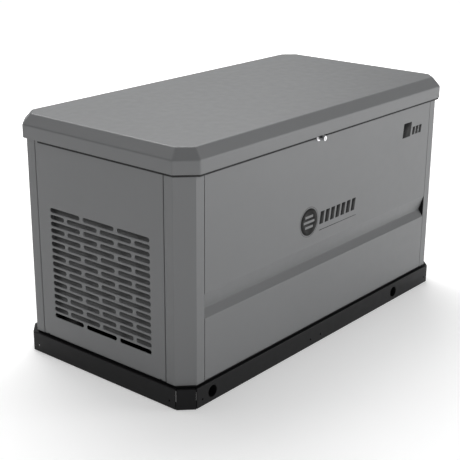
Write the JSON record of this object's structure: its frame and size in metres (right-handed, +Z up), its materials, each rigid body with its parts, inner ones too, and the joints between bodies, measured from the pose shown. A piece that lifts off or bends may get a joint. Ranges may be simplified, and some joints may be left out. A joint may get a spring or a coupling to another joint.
{
  "type": "home standby generator",
  "caption": "Sheet-metal enclosed home standby generator with a bevelled hinged lid, slotted end grilles, grooved front panel and a black lifting base.",
  "frame": {"origin": "centre of the footprint on the ground", "axes": "+X along the length, the intake grille at -X; -Y is the lock side; +Z up"},
  "size_m": [1.22, 0.652, 0.6859],
  "materials": {
    "grey_paint": "satin fine-textured powder coat",
    "black_paint": "satin black powder coat",
    "zinc": "zinc plated",
    "chrome": "polished",
    "castings": "as cast",
    "iron": "machined and bare",
    "hot_steel": "heat tinted",
    "rubber": "matt",
    "foam": "open-cell foam",
    "black_plastic": "moulded",
    "grey_plastic": "moulded",
    "red_plastic": "moulded",
    "green_plastic": "moulded",
    "blue_plastic": "moulded",
    "yellow_plastic": "moulded"
  },
  "bodies": {
    "enclosure": {"air_cleaner": "black_plastic", "alternator_bells": "castings", "alternator_stator": "black_paint", "base_corner_plates": "black_paint", "base_floor": "black_paint", "base_skirts": "black_paint", "battery": "black_plastic", "blower_housing": "black_paint", "breaker": "black_plastic", "control_box": "black_paint", "control_panel": "grey_plastic", "corner_posts": "grey_paint", "crankcase": "castings", "cylinder_heads": "castings", "cylinders": "castings", "engine_bed": "black_paint", "exhaust_pipes": "hot_steel", "firewall": "zinc", "foot_pads": "rubber", "front_panel": "grey_paint", "fuel_hose": "rubber", "fuel_train": "castings", "hinge_body_leaves": "grey_paint", "intake_baffle": "grey_paint", "intake_end_panel": "grey_paint", "intake_manifold": "castings", "lifting_tubes": "black_paint", "lock_housing": "chrome", "muffler": "hot_steel", "oil_filter": "grey_plastic", "outlet_end_panel": "grey_paint", "panel_foam": "foam", "rear_panel": "grey_paint", "rocker_covers": "black_paint", "starter_motor": "black_paint", "strut_body_brackets": "zinc", "top_frame": "grey_paint", "vibration_mounts": "rubber", "weather_seals": "rubber", "wiring": "rubber"},
    "lid": {"lid_shell": "grey_paint", "lid_frame": "grey_paint", "lid_foam": "foam", "lid_brackets": "zinc", "hinge_lid_leaves": "grey_paint"},
    "lock": {"lock_barrel": "chrome"},
    "strut_left_cylinder": {"strut_left_cylinder": "black_paint"},
    "strut_left_rod": {"strut_left_rod": "chrome"},
    "strut_right_cylinder": {"strut_right_cylinder": "black_paint"},
    "strut_right_rod": {"strut_right_rod": "chrome"},
    "crank": {"crankshaft": "iron", "flywheel": "iron", "alternator_rotor": "iron"},
    "button_off": {"button_off": "red_plastic"},
    "button_auto": {"button_auto": "green_plastic"},
    "button_manual": {"button_manual": "blue_plastic"},
    "breaker_toggle": {"breaker_toggle": "grey_plastic"},
    "dipstick": {"dipstick": "yellow_plastic"},
    "fuel_valve_lever": {"fuel_valve_lever": "red_plastic"},
    "throttle_arm": {"throttle_arm": "zinc"}
  },
  "joints": [
    {"name": "lid_hinge", "type": "hinge", "parent": "enclosure", "child": "lid", "pos_m": [0, 0.318, 0.611], "axis": [-1, 0, 0], "range_deg": [0, 60]},
    {"name": "lock_turn", "type": "hinge", "parent": "enclosure", "child": "lock", "pos_m": [-0.064, -0.303, 0.6155], "axis": [0, 1, 0], "range_deg": [0, 90]},
    {"name": "strut_left_swing", "type": "hinge", "parent": "enclosure", "child": "strut_left_cylinder", "pos_m": [-0.55225, 0.2042, 0.4317], "axis": [-1, 0, 0], "range_deg": [0, 14.02]},
    {"name": "strut_left_extend", "type": "slide", "parent": "strut_left_cylinder", "child": "strut_left_rod", "axis": [0, 0.0885, 0.9961], "range_m": [0, 0.08001]},
    {"name": "strut_right_swing", "type": "hinge", "parent": "enclosure", "child": "strut_right_cylinder", "pos_m": [0.55225, 0.2042, 0.4317], "axis": [-1, 0, 0], "range_deg": [0, 14.02]},
    {"name": "strut_right_extend", "type": "slide", "parent": "strut_right_cylinder", "child": "strut_right_rod", "axis": [0, 0.0885, 0.9961], "range_m": [0, 0.08001]},
    {"name": "crank_spin", "type": "hinge", "parent": "enclosure", "child": "crank", "pos_m": [-0.066, 0, 0.262], "axis": [1, 0, 0], "continuous": true},
    {"name": "press_off", "type": "slide", "parent": "enclosure", "child": "button_off", "axis": [0, 0.6991, -0.715], "range_m": [0, 0.0015], "stiffness_N_per_m": 400, "springref_m": -0.001},
    {"name": "press_auto", "type": "slide", "parent": "enclosure", "child": "button_auto", "axis": [0, 0.6991, -0.715], "range_m": [0, 0.0015], "stiffness_N_per_m": 400, "springref_m": -0.001},
    {"name": "press_manual", "type": "slide", "parent": "enclosure", "child": "button_manual", "axis": [0, 0.6991, -0.715], "range_m": [0, 0.0015], "stiffness_N_per_m": 400, "springref_m": -0.001},
    {"name": "breaker_throw", "type": "hinge", "parent": "enclosure", "child": "breaker_toggle", "pos_m": [-0.39125, 0.1865, 0.5835], "axis": [1, 0, 0], "range_deg": [-18, 18]},
    {"name": "dipstick_pull", "type": "slide", "parent": "enclosure", "child": "dipstick", "axis": [0, -0.5, 0.866], "range_m": [0, 0.1]},
    {"name": "fuel_valve_turn", "type": "hinge", "parent": "enclosure", "child": "fuel_valve_lever", "pos_m": [0.18, 0.24, 0.112], "axis": [-1, 0, 0], "range_deg": [0, 90]},
    {"name": "throttle_turn", "type": "hinge", "parent": "enclosure", "child": "throttle_arm", "pos_m": [-0.106, 0, 0.51255], "axis": [1, 0, 0], "range_deg": [0, 70]}
  ],
  "couplings": [
    {"joint": "strut_left_swing", "follows": "lid_hinge", "ratio": 0.23367},
    {"joint": "strut_left_extend", "follows": "lid_hinge", "m_per_rad": 0.076394},
    {"joint": "strut_right_swing", "follows": "lid_hinge", "ratio": 0.23367},
    {"joint": "strut_right_extend", "follows": "lid_hinge", "m_per_rad": 0.076394}
  ]
}
